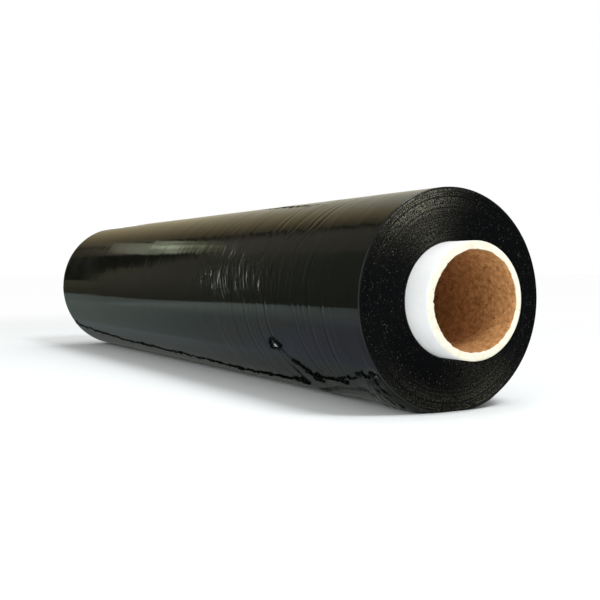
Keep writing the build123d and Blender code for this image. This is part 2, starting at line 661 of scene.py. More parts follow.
@dataclass(frozen=True)
class WoundEdge:
    """Dull black end of the winding, with the rings of many film edges and pale specks that paint their
    glints and sheen.

    Attributes:
        axis_z: Height of the roll's axis in metres.
        base: Colour of the film edges.
        painted_sparkle: Colour of the pale specks, painted glints and sheen.
        roughness: Roughness of the edges.
        mirror: Strength of the reflection, as the shader's specular level.
        sheen_side: Direction, as Y and Z, of the side with the most painted sheen; the opposite side has
            less.
        sheen_focus: How fast the painted sheen falls off round the roll.
        rubbed: Direction, as Y and Z, of the side with a little painted sheen at the rim only.
        rim_sheen_focus: How fast that falls off round the roll.
        rings_per_m: Rings for each metre from the axis.
        rim_from: Distance from the axis in metres where the rim's own look starts.
        rim_to: Distance from the axis in metres where it is full.
        ring_mm: Depth of the rings.
        grain_mm: Depth of the frayed grains.
    """

    axis_z: float
    base: Colour = (0.0022, 0.0026, 0.0030)
    # Pale specks in this colour are painted glints and sheen of the lit film edges.
    painted_sparkle: Colour = (0.205, 0.200, 0.150)
    roughness: float = 0.36
    mirror: float = 0.012
    sheen_side: tuple[float, float] = (-0.423, 0.906)
    sheen_focus: float = 14.0
    # Side with a little painted sheen near the rim.
    rubbed: tuple[float, float] = (-0.300, -0.954)
    rim_sheen_focus: float = 9.0
    rings_per_m: float = 950.0
    rim_from: float = 0.0400
    rim_to: float = 0.0500
    ring_mm: float = 0.16
    grain_mm: float = 0.06

    def build(self) -> bpy.types.Material:
        """Make the material.

        Rings are noise along the distance from the axis, clearest near the rim.  Pale specks, painted glints
        and sheen, are fine noise times a weight that falls off as e to the power of the focus times the
        cosine, less one, of the angle from the side of most sheen; a few single painted glints lie anywhere.

        Returns:
            The material.
        """
        material, sheet = surface("wound_film_edges")
        vector, _, y, z = sheet.place()
        rise = z - self.axis_z
        radius = y.hypotenuse(rise)
        wander = sheet.noise(vector, (40.0, 40.0, 40.0), 1.0)
        rings = sheet.line_noise(radius * self.rings_per_m + wander * 0.8, 2.0)
        grains = sheet.noise(vector, (2100.0, 2100.0, 2100.0), 1.0, 2.3)
        singles = sheet.noise(vector, (1700.0, 1700.0, 1700.0), 0.0, 6.6)
        sides = (self.sheen_side, self.rubbed)
        toward_sheen, toward_rim_sheen = ((y * side[0] + rise * side[1]) / radius for side in sides)
        front_side = sheet.math("EXPONENT", (toward_sheen - 1.0) * self.sheen_focus)
        back_side = sheet.math("EXPONENT", (toward_sheen + 1.0) * -self.sheen_focus)
        low_side = sheet.math("EXPONENT", (toward_rim_sheen - 1.0) * self.rim_sheen_focus)
        outer = sheet.step(radius, self.rim_from, self.rim_to)
        # Weight of the painted sheen: highest on one side, less on the opposite side, and a little near the
        # rim on a third side.
        weight = 0.010 + front_side * (0.34 + 0.62 * outer) + back_side * (0.17 + 0.10 * outer)
        weight = weight + low_side * outer * 0.15
        ringed = sheet.step(rings, 0.36, 0.62) * (0.45 + 0.75 * outer) + (0.75 - 0.40 * outer)
        # Pale specks painted where lit rings would glint, and a few single painted glints anywhere.
        specks = sheet.step(grains, 0.40, 0.70) * weight * ringed + 0.42 * sheet.step(singles, 0.760, 0.81)
        normal = sheet.bump(rings, self.ring_mm)
        normal = sheet.bump(grains, self.grain_mm, normal)
        shaded(sheet, {
            "Base Color": sheet.blend(specks, self.base, self.painted_sparkle),
            "Roughness": sheet.step(wander, 0.3, 0.7, self.roughness, self.roughness + 0.12),
            "Specular IOR Level": self.mirror,
            "Normal": normal,
        })
        return material


@dataclass(frozen=True)
class PaperFace:
    """Paper or board of the core: a base colour with mottling, fibres and specks.

    Attributes:
        name: Name of the material.
        light: Colour of the light parts.
        dark: Colour of the dark parts.
        speck: Colour of small specks.
        speck_start: Level of the fine noise above which a speck shows.
        grain_per_m: Cells of the mottling for each metre.
        relief_mm: Depth of the fibre relief.
        roughness: Roughness of the surface.
        stain: Strength of darker stains.
        plies_per_m: Plies that show for each metre across the wall, or 0 for none.
        axis_z: Height of the tube's axis in metres.
        mirror: Strength of the reflection, as the shader's specular level.
        speck_edge: Rise of the fine noise over which a speck darkens.
        roughness_range: How much the roughness varies either way.
    """

    name: str
    light: Colour
    dark: Colour
    speck: Colour
    speck_start: float
    grain_per_m: float
    relief_mm: float
    roughness: float
    stain: float = 0.0
    plies_per_m: float = 0.0
    axis_z: float = 0.0
    mirror: float = 0.25
    speck_edge: float = 0.09
    roughness_range: float = 0.08

    def build(self) -> bpy.types.Material:
        """Make the material.

        The tone is a ramp on a mix of mottling and fibres, both noise; stains, plies and specks darken it.

        Returns:
            The material.
        """
        material, sheet = surface(self.name)
        vector, _, y, z = sheet.place()
        grain = self.grain_per_m
        mottle = sheet.noise(vector, (grain, grain, grain), 5.0)
        fibre = sheet.noise(vector, (grain * 3.0, grain * 9.0, grain * 9.0), 3.0, 4.4)
        specks = sheet.noise(vector, (520.0, 760.0, 760.0), 1.0, 7.7)
        tone = sheet.ramp(mottle * 0.62 + fibre * 0.38, ((0.38, self.dark), (0.60, self.light)))
        spotted = sheet.step(specks, self.speck_start, self.speck_start + self.speck_edge)
        if self.stain > 0:
            blots = sheet.noise(vector, (grain * 0.55, grain * 0.9, grain * 0.9), 6.0, 2.8)
            tone = sheet.blend(sheet.step(blots, 0.52, 0.72, 0.0, self.stain), tone, self.speck)
        if self.plies_per_m > 0:
            radius = y.hypotenuse(z - self.axis_z)
            plies = sheet.line_noise(radius * self.plies_per_m + mottle * 0.5, 1.0)
            tone = sheet.blend(sheet.step(plies, 0.54, 0.68, 0.0, 0.45), tone, self.dark)
        shaded(sheet, {
            "Base Color": sheet.blend(spotted, tone, self.speck),
            "Roughness": sheet.step(fibre, 0.2, 0.8, self.roughness - self.roughness_range,
                                    self.roughness + self.roughness_range),
            "Specular IOR Level": self.mirror,
            "Normal": sheet.bump(fibre * 0.6 + mottle * 0.4, self.relief_mm),
        })
        return material


# Sub-assemblies


def crowding(x: np.ndarray) -> np.ndarray:
    """How much closer points stand along the roll: about two and a half times in the creased near half."""
    return 1.0 + 1.6 * smooth((x - 50.0) / 50.0)


def even_steps(start: float, end: float, count: int,
               weight: Callable[[np.ndarray], np.ndarray]) -> np.ndarray:
    """Places from start to end whose spacing shrinks as a weight grows.

    The weight is summed along the way, and the places are where that sum reaches even steps.

    Args:
        start: First place.
        end: Last place.
        count: Number of places.
        weight: Weight as a function of place.

    Returns:
        The places.
    """
    samples = 800
    coarse = np.linspace(start, end, samples)
    level = weight(coarse)
    travelled = np.concatenate(([0.0], np.cumsum(0.5 * (level[1:] + level[:-1]))))
    return np.interp(np.linspace(0.0, travelled[-1], count), travelled, coarse)


@dataclass(frozen=True)
class Crease:
    """One crease pressed round the winding.

    Attributes:
        place: X of the crease at the front.
        start: Angle where it starts.
        end: Angle where it ends.
        drift: How far X moves on over its length.
        depth: Depth of its groove.
        width: Half-width of its groove.
    """

    place: float
    start: float
    end: float
    drift: float
    depth: float
    width: float = 0.9

    @classmethod
    def scattered(cls, count: int, reach: float, seed: int) -> list["Crease"]:
        """Thin creases at random places, more of them in the near half and on the front.

        Args:
            count: Number of creases.
            reach: Furthest X from the middle of the roll.
            seed: Seed of the random numbers.

        Returns:
            The creases.
        """
        draw = np.random.default_rng(seed)
        near = draw.random(count) < 0.6
        place = np.where(near, draw.normal(150.0, 48.0, count), draw.uniform(-reach, reach, count))
        start = np.where(near, draw.uniform(-85.0, 10.0, count), draw.uniform(-90.0, 230.0, count))
        length = draw.uniform(30.0, 95.0, count)
        drift = draw.uniform(-4.0, 5.0, count)
        depth = draw.uniform(0.03, 0.10, count) * np.where(near, 1.0, 0.7)
        width = draw.uniform(0.5, 1.1, count)
        rows = zip(np.clip(place, -reach, reach), start, start + length, drift, depth, width)
        return [cls(*(float(number) for number in row)) for row in rows]


@dataclass
class FilmWinding:
    """The wound film: creased outside, rounded rims, ringed ends and a flat spot underneath.

    Attributes:
        sizes: Main sizes of the roll.
        rim: Radius of the rounded rims.
        skin_rows: Rows of points along the outside, closest together where it is most creased.
        end_rows: Rows of points across each end.
        rim_rows: Rows of points round each rim.
        columns: Points round the roll.
        groups: Groups of turns across each end.
        setback: Most that a group of turns stands back.
        edge_back: How far back the film edges stand apart from that, before the random rings.
        highest: Most that the relief stands above the plain cylinder.
        lift_off_floor: Height of the winding's own flat spot, under the tail that it lies on.
        stray_creases: Number of thin creases scattered at random.
        crease_fade: Share of a crease's length over which each of its ends fades.
        deepest_x: X of the deepest streaks.
        deepest_reach: Half the length of that stretch.
        tight_band: Angle of a band along the roll where the film lies tighter.
        tight_width: Half its width in degrees.
        tightness: Share of the relief that is missing in its middle.
        creases: Creases listed one by one.
    """

    sizes: RollSizes
    rim: float = 0.8
    skin_rows: int = 476
    end_rows: int = 46
    rim_rows: int = 5
    columns: int = 160
    groups: int = 7
    setback: float = 0.5
    edge_back: float = 0.16
    highest: float = 0.2
    lift_off_floor: float = 0.12
    stray_creases: int = 36
    crease_fade: float = 0.16
    deepest_x: float = 122.0
    deepest_reach: float = 68.0
    tight_band: float = -33.0
    tight_width: float = 10.0
    tightness: float = 0.55
    creases: tuple[Crease, ...] = (
        Crease(160.0, -4.0, 62.0, 9.0, 0.32, 0.8),
        Crease(132.5, 0.0, 66.0, 3.0, 0.24, 0.8),
        Crease(148.5, 2.0, 62.0, 3.0, 0.24, 0.8),
        Crease(190.5, 2.0, 48.0, 6.0, 0.24, 0.8),
        Crease(147.0, -76.0, -38.0, 6.0, 0.16),
        Crease(118.0, -30.0, 0.0, -3.0, 0.10),
        Crease(164.0, -48.0, 4.0, -2.0, 0.09, 0.7),
        Crease(172.0, -44.0, 8.0, -3.0, 0.10, 0.7),
        Crease(181.0, -50.0, 5.0, -3.0, 0.10, 0.7),
        Crease(196.0, -40.0, 5.0, 2.0, 0.09, 0.7),
        Crease(204.5, -30.0, 60.0, 3.0, 0.18, 0.8),
        Crease(218.0, -10.0, 60.0, 1.5, 0.20, 0.8),
        Crease(182.0, -74.0, -20.0, -5.0, 0.16),
        Crease(190.0, -78.0, -30.0, -6.0, 0.18),
        Crease(168.0, -80.0, -34.0, -6.0, 0.18),
        Crease(94.0, -70.0, 40.0, 3.0, 0.10),
        Crease(40.0, -76.0, 30.0, 4.0, 0.09),
        Crease(-8.0, -80.0, -15.0, -4.0, 0.12),
        Crease(-68.0, -80.0, 10.0, -5.0, 0.09),
        Crease(-150.0, -70.0, 40.0, 3.0, 0.08),
        Crease(64.0, 150.0, 262.0, 5.0, 0.16),
        Crease(-30.0, 140.0, 250.0, -6.0, 0.14),
        Crease(-120.0, 160.0, 270.0, 4.0, 0.13),
        Crease(150.0, 150.0, 240.0, 6.0, 0.15),
    )

    def meridian(self) -> tuple[np.ndarray, np.ndarray, np.ndarray]:
        """Section of the winding from the far end's core edge over the outside to the near end's core edge.

        Both rims are quarter circles, and a straight run along the core closes the section.

        Returns:
            X and radius of each row, and a share that is 1 on the ends and 0 on the outside.
        """
        half = self.sizes.film_width / 2
        outer = self.sizes.film_radius
        inner = self.sizes.core_radius
        across = np.linspace(inner, outer - self.rim, self.end_rows)
        quarter = np.linspace(0.0, math.pi / 2, self.rim_rows + 2)[1:-1]
        rim_x = half - self.rim + self.rim * np.cos(quarter)
        rim_radius = outer - self.rim + self.rim * np.sin(quarter)
        skin_x = even_steps(self.rim - half, half - self.rim, self.skin_rows, crowding)
        along_core = np.linspace(half, -half, 7)[1:-1]
        end_x = np.full(self.end_rows, half)
        x = np.concatenate((-end_x, -rim_x, skin_x, rim_x[::-1], end_x, along_core))
        radius = np.concatenate((
            across, rim_radius, np.full(self.skin_rows, outer), rim_radius[::-1], across[::-1],
            np.full(along_core.size, inner),
        ))
        rim_share = 1.0 - quarter / (math.pi / 2)
        on_end = np.concatenate((
            np.ones(self.end_rows), rim_share, np.zeros(self.skin_rows), rim_share[::-1],
            np.ones(self.end_rows), np.zeros(along_core.size),
        ))
        return x, radius, on_end

    def streaks(self, x: np.ndarray, angle: np.ndarray) -> np.ndarray:
        """Relief of the outside: streaks drawn out round the roll, and creases.

        Random fields, fine along X and long round the roll, are deepest towards the near third.  Each
        crease is a rounded groove with a low ridge on either side, and it fades at both its ends.  All of it
        is about half as deep in the tight band.

        Args:
            x: X of each point.
            angle: Angle of each point.

        Returns:
            Height of each point above the plain cylinder.
        """
        share = self.sizes.share(x)
        turn = angle / FULL_TURN
        deep = 0.30 + 0.70 * bell(x - self.deepest_x, self.deepest_reach)
        relief = 0.050 * random_field(share, turn, (64, 5), 11) * deep
        relief = relief + 0.026 * random_field(share, turn, (150, 9), 12) * deep
        relief = relief + 0.05 * random_field(share, turn, (14, 3), 13)
        wander = 1.1 * random_field(share, turn, (10, 24), 14)
        scattered = Crease.scattered(self.stray_creases, self.sizes.film_width / 2 - 4.0, 15)
        for crease in (*self.creases, *scattered):
            run = (np.mod(angle - crease.start + 90.0, FULL_TURN) - 90.0) / (crease.end - crease.start)
            fade = smooth(run / self.crease_fade) * smooth((1.0 - run) / self.crease_fade)
            away = x - crease.place - crease.drift * (run - 0.5) - wander
            groove = bell(away, crease.width) - 0.4 * bell(away, 2.6 * crease.width)
            relief = relief - crease.depth * fade * groove
        above_front = np.mod(angle + 180.0, FULL_TURN) - 180.0
        return relief * (1.0 - self.tightness * bell(above_front - self.tight_band, self.tight_width))

    def turns(self, radius: np.ndarray, angle: np.ndarray, end: End) -> np.ndarray:
        """How far back the edges of the turns stand on one end.

        Groups of turns stand back unevenly, and finer random rings run round them.

        Args:
            radius: Distance of each point from the axis.
            angle: Angle of each point.
            end: Which end of the roll.

        Returns:
            Distance back from the end plane, never negative.
        """
        span = self.sizes.film_radius - self.sizes.core_radius
        share = (radius - self.sizes.core_radius) / span
        turn = angle / FULL_TURN
        group = share * self.groups
        step = np.floor(group)
        ease = smooth((group - step - 0.86) / 0.14)
        this_back = 0.5 + 0.5 * np.sin(2.4 * step + end.value)
        next_back = 0.5 + 0.5 * np.sin(2.4 * (step + 1) + end.value)
        back = self.setback * (this_back * (1 - ease) + next_back * ease) * smooth((1.0 - share) / 0.10)
        seed = 21 if end is End.NEAR else 25
        rings = 0.11 * random_field(share, turn, (22, 6), seed)
        rings = rings + 0.07 * random_field(share, turn, (40, 9), seed + 1)
        return np.maximum(back + self.edge_back + rings, 0.0)

    def build(self, skin: bpy.types.Material, edges: bpy.types.Material,
              rims: bpy.types.Material) -> bpy.types.Object:
        """Make the winding as one closed mesh.

        Args:
            skin: Finish of the outside.
            edges: Finish of the two ends.
            rims: Finish of the rounded rims.

        Returns:
            The piece.
        """
        x, radius, on_end = (rows[:, None] for rows in self.meridian())
        angle = np.linspace(0.0, FULL_TURN, self.columns, endpoint=False)[None, :]
        outer = self.sizes.film_radius
        outside = np.where(radius > outer - self.rim - 1e-6, 1.0 - on_end, 0.0)
        far_back = self.turns(radius, angle, End.FAR)
        near_back = self.turns(radius, angle, End.NEAR)
        back = np.where(x < 0, far_back, -near_back)
        raised = radius + self.streaks(x, angle) * outside
        points = self.sizes.points(x + back * on_end, angle, np.minimum(raised, outer + self.highest))
        points = rest_on_floor(points, self.lift_off_floor)
        faces = grid_faces(x.size, self.columns, True, True)
        between = np.append(on_end[:-1, 0] + on_end[1:, 0], 0.0) / 2
        finish = np.where(between > 0.99, 1, np.where(between > 0.01, 2, 0))
        finish = np.where(np.append(radius[1:, 0], 0.0) < self.sizes.core_radius + 1e-6, 0, finish)
        finish_of_face = np.repeat(finish, self.columns)
        return make_piece("film_winding", points, faces, [skin, edges, rims], finish_of_face)


def crumpled_tube(sizes: RollSizes, path: np.ndarray, thick: np.ndarray, flatness: float,
                  crumple: tuple[float, int], around: int = 14) -> np.ndarray:
    """Tube of crumpled film carried along a line on the roll.

    Each ring stands across the line, between the outward direction and the one along the surface.  Its
    radius is scaled by ridged random values, one less twice the size of a random field, along and around it.

    Args:
        sizes: Main sizes of the roll.
        path: Points of the line.
        thick: Radius of the tube at each point.
        flatness: How much wider the tube is along the surface than outwards.
        crumple: Length of one crumple along the tube, and the seed of the random values.
        around: Points in each ring.

    Returns:
        Rings of points, one for each point of the line.
    """
    ahead = unit(np.gradient(path, axis=0))
    outward = path - np.array([0.0, 0.0, sizes.axis_height])
    outward[:, 0] = 0.0
    outward = unit(outward)
    across = unit(np.cross(ahead, outward))
    length = float(np.linalg.norm(np.diff(path, axis=0), axis=1).sum())
    turn = np.linspace(0.0, 1.0, around, endpoint=False)[None, :]
    progress = np.linspace(0.0, 1.0, path.shape[0])[:, None]
    size, seed = crumple
    cells = max(2, round(length / size))
    ridged = 1.0 - 2.0 * np.abs(random_field(progress, turn, (cells, 7), seed))
    coarse = random_field(progress, turn, (max(2, cells // 4), 5), seed + 200)
    rough = np.clip(0.85 + 0.75 * ridged + 0.75 * coarse, 0.10, 2.4)
    swing = 2.0 * math.pi * turn
    ring = np.cos(swing)[..., None] * across[:, None, :] * flatness
    ring = ring + np.sin(swing)[..., None] * outward[:, None, :] / flatness
    return path[:, None, :] + (thick[:, None] * rough)[..., None] * ring


def join_tubes(tubes: list[tuple[np.ndarray, bool]]) -> tuple[np.ndarray, np.ndarray, list[np.ndarray]]:
    """Put several tubes into one mesh.

    Args:
        tubes: Rings of each tube, and whether its last ring joins its first.

    Returns:
        The points, the quads, and the caps of the tubes that are open.
    """
    points, faces, caps = [], [], []
    offset = 0
    for rings, closed in tubes:
        rows, around, _ = rings.shape
        points.append(rings.reshape(-1, 3))
        faces.append(grid_faces(rows, around, closed, True) + offset)
        if not closed:
            first = np.arange(around)
            caps.append(first[::-1] + offset)
            caps.append(first + offset + (rows - 1) * around)
        offset += rows * around
    return np.concatenate(points), np.concatenate(faces), caps


@dataclass(frozen=True)
class Tuft:
    """Crumpled tuft of film that stands on the roll.

    Attributes:
        place: X of its middle.
        angle: Angle below the front of its middle.
        reach: Half its length.
        height: Radius of its middle.
        seed: Seed of its crumples.
    """

    place: float
    angle: float
    reach: float
    height: float
    seed: int

    def rings(self, sizes: RollSizes) -> np.ndarray:
        """Rings of a short crumpled tube that is round in the middle and nearly closed at both ends.

        The radius follows half a circle along the tuft, and its line zigzags a little at random.

        Args:
            sizes: Main sizes of the roll.

        Returns:
            The rings.
        """
        way = np.linspace(-1.0, 1.0, 46)
        zigzag = np.random.default_rng(self.seed).normal(0.0, 1.0, 7)
        bend = np.interp(way, np.linspace(-1.0, 1.0, zigzag.size), zigzag)
        angle = self.angle + 0.9 * bend
        path = sizes.points(self.place + self.reach * way, angle, np.full(way.size, sizes.film_radius + 0.5))
        thick = self.height * np.maximum(np.sqrt(1.0 - way * way), 0.04)
        return crumpled_tube(sizes, path, thick, 1.25, (0.8, self.seed))


@dataclass(frozen=True)
class Puncture:
    """Small torn hole with a crumpled rim.

    Attributes:
        place: X of its middle.
        angle: Angle below the front of its middle.
        reach: Half its length along the roll.
        rise: Half its length round the roll.
        height: Radius of its rim.
    """

    place: float
    angle: float
    reach: float
    rise: float
    height: float

    def rings(self, sizes: RollSizes) -> np.ndarray:
        """Rings of a crumpled tube along an uneven oval round the hole, its reach varied by two sines.

        Args:
            sizes: Main sizes of the roll.

        Returns:
            The rings, of which the last joins the first.
        """
        swing = np.linspace(0.0, 2.0 * math.pi, 90, endpoint=False)
        uneven = 1.0 + 0.24 * np.sin(3.0 * swing + 0.5) + 0.16 * np.sin(5.0 * swing + 2.0)
        x = self.place + self.reach * uneven * np.cos(swing)
        angle = self.angle + np.degrees(self.rise * uneven / sizes.film_radius) * np.sin(swing)
        path = sizes.points(x, angle, np.full(swing.size, sizes.film_radius + 0.4))
        thick = self.height * (0.75 + 0.5 * np.cos(2.0 * swing + 0.6))
        return crumpled_tube(sizes, path, thick, 1.3, (0.8, 91))


@dataclass
class FilmTail:
    """Loose tail of the last turn, with a torn edge on the front and gathers under the near end.

    Attributes:
        sizes: Main sizes of the roll.
        thickness: Height of the loose tail above the winding where it is thickest.
        thickest: Angle where it is thickest.
        merge: Angle behind the roll where it lies tight again.
        inset: Distance of its sides from the ends of the winding.
        columns: Points along the torn edge.
        rows: Points from the torn edge to the back.
        film_edge: Thickness of the film at the torn edge.
        sunk: Depth of its underside in the winding, away from the torn edge.
        slack_from: X from which the tail is slacker.
        slack_over: Length over which it comes to its slackest.
        crowd_from: X from which the columns stand closest, for the gathers.
        crowd_over: Length over which they close up.
        gathers: Number of gathered folds.
        gather_growth: How much wider each fold is than the one before it, from the near side.
        gather_height: Height of the folds.
        gather_margin: Distance from the near side to the first fold.
        gather_fan: Angle over which the folds fan out.
        gather_end: Angle where they end underneath.
        gather_fade: Angle over which they fade to that end.
        curl_height: Height of the curl at the torn edge.
        curl_reach: Distance from the torn edge over which the curl sinks.
        least_lift: Least height of the tail above the winding.
        swoop_height: Factor of the height of the long fold.
        bead_step: Step along a torn line.
        edge_thick: Radius of the bead on the torn edge.
        bunch_x: X of the most bunched place on the torn edge.
        bunch_reach: Half the length of that place.
        bunch_thick: Radius that is added to the bead there.
        crack_thick: Radius of the bead on the crack.
        shade_bead_thick: Radius of the dark beads that paint shade lines between the gathered folds.
        shade_bead_height: Height of those beads above the gathers.
        shade_bead_reach: Distance from each bead to the next gather.
        edge: Torn edge, as shares of the film width from the far end and angles below the front.
        swoop: Long fold below the torn edge, as X and angles below the front.
        crack: Thin crack from the puncture to the torn edge, as X and angles below the front.
        shade_beads: Dark beads, painted shade between folds, below the near end of the torn edge, each as X
            and angles below the front.
        tufts: Crumpled tufts on the torn edge.
        puncture: Small torn hole above the torn edge.
        shard_seed: Seed of the small shreds on the torn edge.
    """

    sizes: RollSizes
    thickness: float = 0.7
    thickest: float = 62.0
    merge: float = 150.0
    inset: float = 0.8
    columns: int = 760
    rows: int = 60
    film_edge: float = 0.14
    sunk: float = 0.45
    slack_from: float = 60.0
    slack_over: float = 120.0
    crowd_from: float = 198.0
    crowd_over: float = 14.0
    gathers: int = 6
    gather_growth: float = 1.25
    gather_height: float = 2.3
    gather_margin: float = 2.2
    gather_fan: float = 30.0
    gather_end: float = 128.0
    gather_fade: float = 40.0
    curl_height: float = 0.26
    curl_reach: float = 0.9
    least_lift: float = 0.03
    swoop_height: float = 1.5
    bead_step: float = 0.28
    edge_thick: float = 0.12
    bunch_x: float = 176.5
    bunch_reach: float = 4.0
    bunch_thick: float = 0.24
    crack_thick: float = 0.16
    shade_bead_thick: float = 0.50
    shade_bead_height: float = 0.45
    shade_bead_reach: float = 1.6
    edge: Table = (
        (0.00, 37.0),
        (0.05, 43.0),
        (0.12, 46.0),
        (0.21, 50.0),
        (0.34, 53.0),
        (0.46, 55.0),
        (0.58, 58.5),
        (0.66, 60.5),
        (0.76, 59.5),
        (0.825, 58.0),
        (0.830, 40.0),
        (0.836, 38.0),
        (0.846, 41.0),
        (0.861, 50.5),
        (0.90, 48.6),
        (0.92, 46.7),
        (0.945, 44.0),
        (0.963, 39.8),
        (1.00, 38.4),
    )
    swoop: Table = (
        (150.0, 70.0),
        (168.0, 64.8),
        (188.0, 58.5),
        (206.0, 54.5),
        (222.0, 52.0),
        (236.0, 54.0),
    )
    crack: Table = ((160.6, 29.4), (163.1, 31.5), (166.1, 35.4), (168.0, 38.2))
    # Dark beads on the gathers: painted shade lines between the folds.
    shade_beads: tuple[Table, ...] = (
        ((245.4, 40.5), (246.4, 44.9), (247.2, 49.1), (247.1, 53.8), (246.2, 59.1), (244.6, 64.4)),
        ((241.6, 45.6), (243.2, 51.1), (243.9, 55.0), (243.3, 59.8)),
    )
    tufts: tuple[Tuft, ...] = (
        Tuft(-160.0, 48.6, 3.0, 0.5, 71),
        Tuft(-94.0, 52.4, 3.5, 0.5, 72),
        Tuft(-20.0, 54.6, 3.0, 0.5, 73),
        Tuft(42.0, 58.8, 3.0, 0.6, 74),
        Tuft(70.0, 60.6, 3.6, 0.9, 75),
        Tuft(112.0, 59.8, 2.6, 0.7, 76),
        Tuft(147.5, 58.4, 4.0, 0.9, 77),
        Tuft(156.5, 58.6, 3.4, 1.2, 78),
        Tuft(176.0, 45.6, 3.0, 0.8, 79),
        Tuft(181.0, 50.6, 2.8, 1.5, 80),
        Tuft(211.4, 46.9, 3.2, 1.2, 81),
        Tuft(206.0, 48.0, 2.0, 0.7, 82),
        Tuft(231.5, 40.2, 2.4, 0.55, 83),
        Tuft(244.0, 39.0, 2.2, 0.55, 84),
    )
    puncture: Puncture = Puncture(156.6, 28.2, 5.4, 2.8, 0.50)
    shard_seed: int = 93

    def stations(self) -> np.ndarray:
        """X of the columns, closest over the torn near half.

        Returns:
            X from the far side to the near side.
        """
        half = self.sizes.film_width / 2 - self.inset

        def closeness(x: np.ndarray) -> np.ndarray:
            """How close the columns stand at each X."""
            return crowding(x) + 4.0 * smooth((x - self.crowd_from) / self.crowd_over)

        return even_steps(-half, half, self.columns, closeness)

    def slackness(self, x: np.ndarray) -> np.ndarray:
        """Share that grows from 0 to 1 along the near half, where the tail is slackest."""
        return smooth((x - self.slack_from) / self.slack_over)

    def torn_angle(self, x: np.ndarray) -> np.ndarray:
        """Angle of the torn edge: straight runs between its main corners, roughened by random teeth.

        Args:
            x: X along the edge.

        Returns:
            Angle below the front at each X.
        """
        share = self.sizes.share(x)
        zero = np.zeros_like(share)
        teeth = 1.3 * random_field(share, zero, (90, 1), 31) + 0.9 * random_field(share, zero, (230, 1), 32)
        return follow(share, self.edge) + teeth

    def folds(self, x: np.ndarray, angle: np.ndarray) -> np.ndarray:
        """Gathered folds that start together at the near end of the torn edge and fan out underneath.

        Folds are counted from the near side, and each is wider than the last by the same growth, so the
        count is the root of one plus twice the distance over the growth, less one.  Their height is a root
        of the size of a sine of that count, so that round ridges meet in sharp valleys.  A long swooping
        fold, with a groove above it, runs below the torn edge.

        Args:
            x: X of each point.
            angle: Angle of each point.

        Returns:
            Height of the folds.
        """
        start = self.edge[-1][1]
        spread = 0.45 + 0.55 * smooth((angle - start) / self.gather_fan)
        sway = 0.6 * random_field(self.sizes.share(x), angle / FULL_TURN, (60, 24), 45)
        inward = np.maximum((self.sizes.film_width / 2 - x + sway) / spread - self.gather_margin, 0.0)
        fold = np.sqrt(1.0 + 2.0 * inward / self.gather_growth) - 1.0
        pitch = self.gather_growth * (1.0 + fold) * spread
        ridge = (np.abs(np.sin(math.pi * fold)) + 0.01) ** 0.7 - 0.35
        inside = smooth(fold / 0.4) * smooth((self.gathers + 0.8 - fold) / 2.0)
        gathered = self.gather_height * np.minimum(pitch / 2.4, 1.0) * ridge * inside
        gathered = gathered * smooth((angle - start) / 6.0)
        gathered = gathered * smooth((self.gather_end - angle) / self.gather_fade)
        below = np.radians(angle - follow(x, self.swoop)) * self.sizes.film_radius
        along = smooth((x - self.swoop[0][0]) / 14.0) * smooth((self.swoop[-1][0] - x) / 8.0)
        swooping = 0.42 * bell(below - 1.5, 0.9) - 0.40 * bell(below, 0.55) + 0.30 * bell(below - 5.0, 1.6)
        return gathered + self.swoop_height * along * swooping

    def lift(self, x: np.ndarray, angle: np.ndarray, torn: np.ndarray) -> np.ndarray:
        """Height of the tail above the winding.

        A cosine is highest at the thickest angle and reaches nothing at the merge; on it are a curl at the
        torn edge, gathered folds and slack wrinkles.

        Args:
            x: X of each point.
            angle: Angle of each point.
            torn: Angle of the torn edge in each column.

        Returns:
            Height of each point.
        """
        share = self.sizes.share(x)
        turn = angle / FULL_TURN
        least = math.cos(math.radians(self.merge - self.thickest))
        body = (np.cos(np.radians(angle - self.thickest)) - least) / (1.0 - least)
        from_edge = np.radians(angle - torn) * self.sizes.film_radius
        curl = self.curl_height * np.exp(-from_edge / self.curl_reach)
        curl = curl * (1.0 + random_field(share, turn, (120, 90), 41))
        slack = smooth((self.merge - angle) / 60.0)
        near = self.slackness(x)
        wrinkle = 0.16 * random_field(share, turn, (34, 14), 42)
        wrinkle = wrinkle + 0.09 * random_field(share, turn, (90, 22), 43)
        wrinkle = wrinkle + 0.30 * near * random_field(share, turn, (20, 56), 44)
        loose = self.thickness * body * (0.55 + 0.45 * near) + wrinkle * slack * (0.35 + 0.65 * near)
        lift = np.maximum(loose, self.least_lift) + curl + self.folds(x, angle)
        return np.maximum(lift, self.least_lift)

    def build(self, skin: bpy.types.Material) -> bpy.types.Object:
        """Make the tail as a closed shell that is thin at its torn edge and sunk into the winding behind it.

        Args:
            skin: Finish of the film.

        Returns:
            The piece.
        """
        x = self.stations()[None, :]
        torn = self.torn_angle(x)
        away = np.linspace(0.0, 1.0, self.rows)[:, None] ** 1.9
        angle = torn + (self.merge - torn) * away
        radius = self.sizes.film_radius + self.lift(x, angle, torn)
        from_edge = np.radians(angle - torn) * self.sizes.film_radius
        sunk = self.sizes.film_radius - self.sunk
        thin = radius - self.film_edge
        under = thin - (thin - sunk) * smooth((from_edge - 1.0) / 4.0)
        top = rest_on_floor(self.sizes.points(x, angle, radius), 0.0)
        bottom = rest_on_floor(self.sizes.points(x, angle, under), 0.05)
        loop = np.concatenate((top, bottom[::-1]), axis=0)
        faces = grid_faces(loop.shape[0], self.columns, True, False)
        rows = np.arange(self.rows)
        over = np.stack((rows[:-1], rows[1:]), axis=-1)
        below = 2 * self.rows - 1 - over
        side = np.stack((over[:, 0], over[:, 1], below[:, 1], below[:, 0]), axis=-1) * self.columns
        caps = np.concatenate((side, side[:, ::-1] + self.columns - 1))
        return make_piece("film_tail", loop, np.concatenate((faces, caps)), [skin])

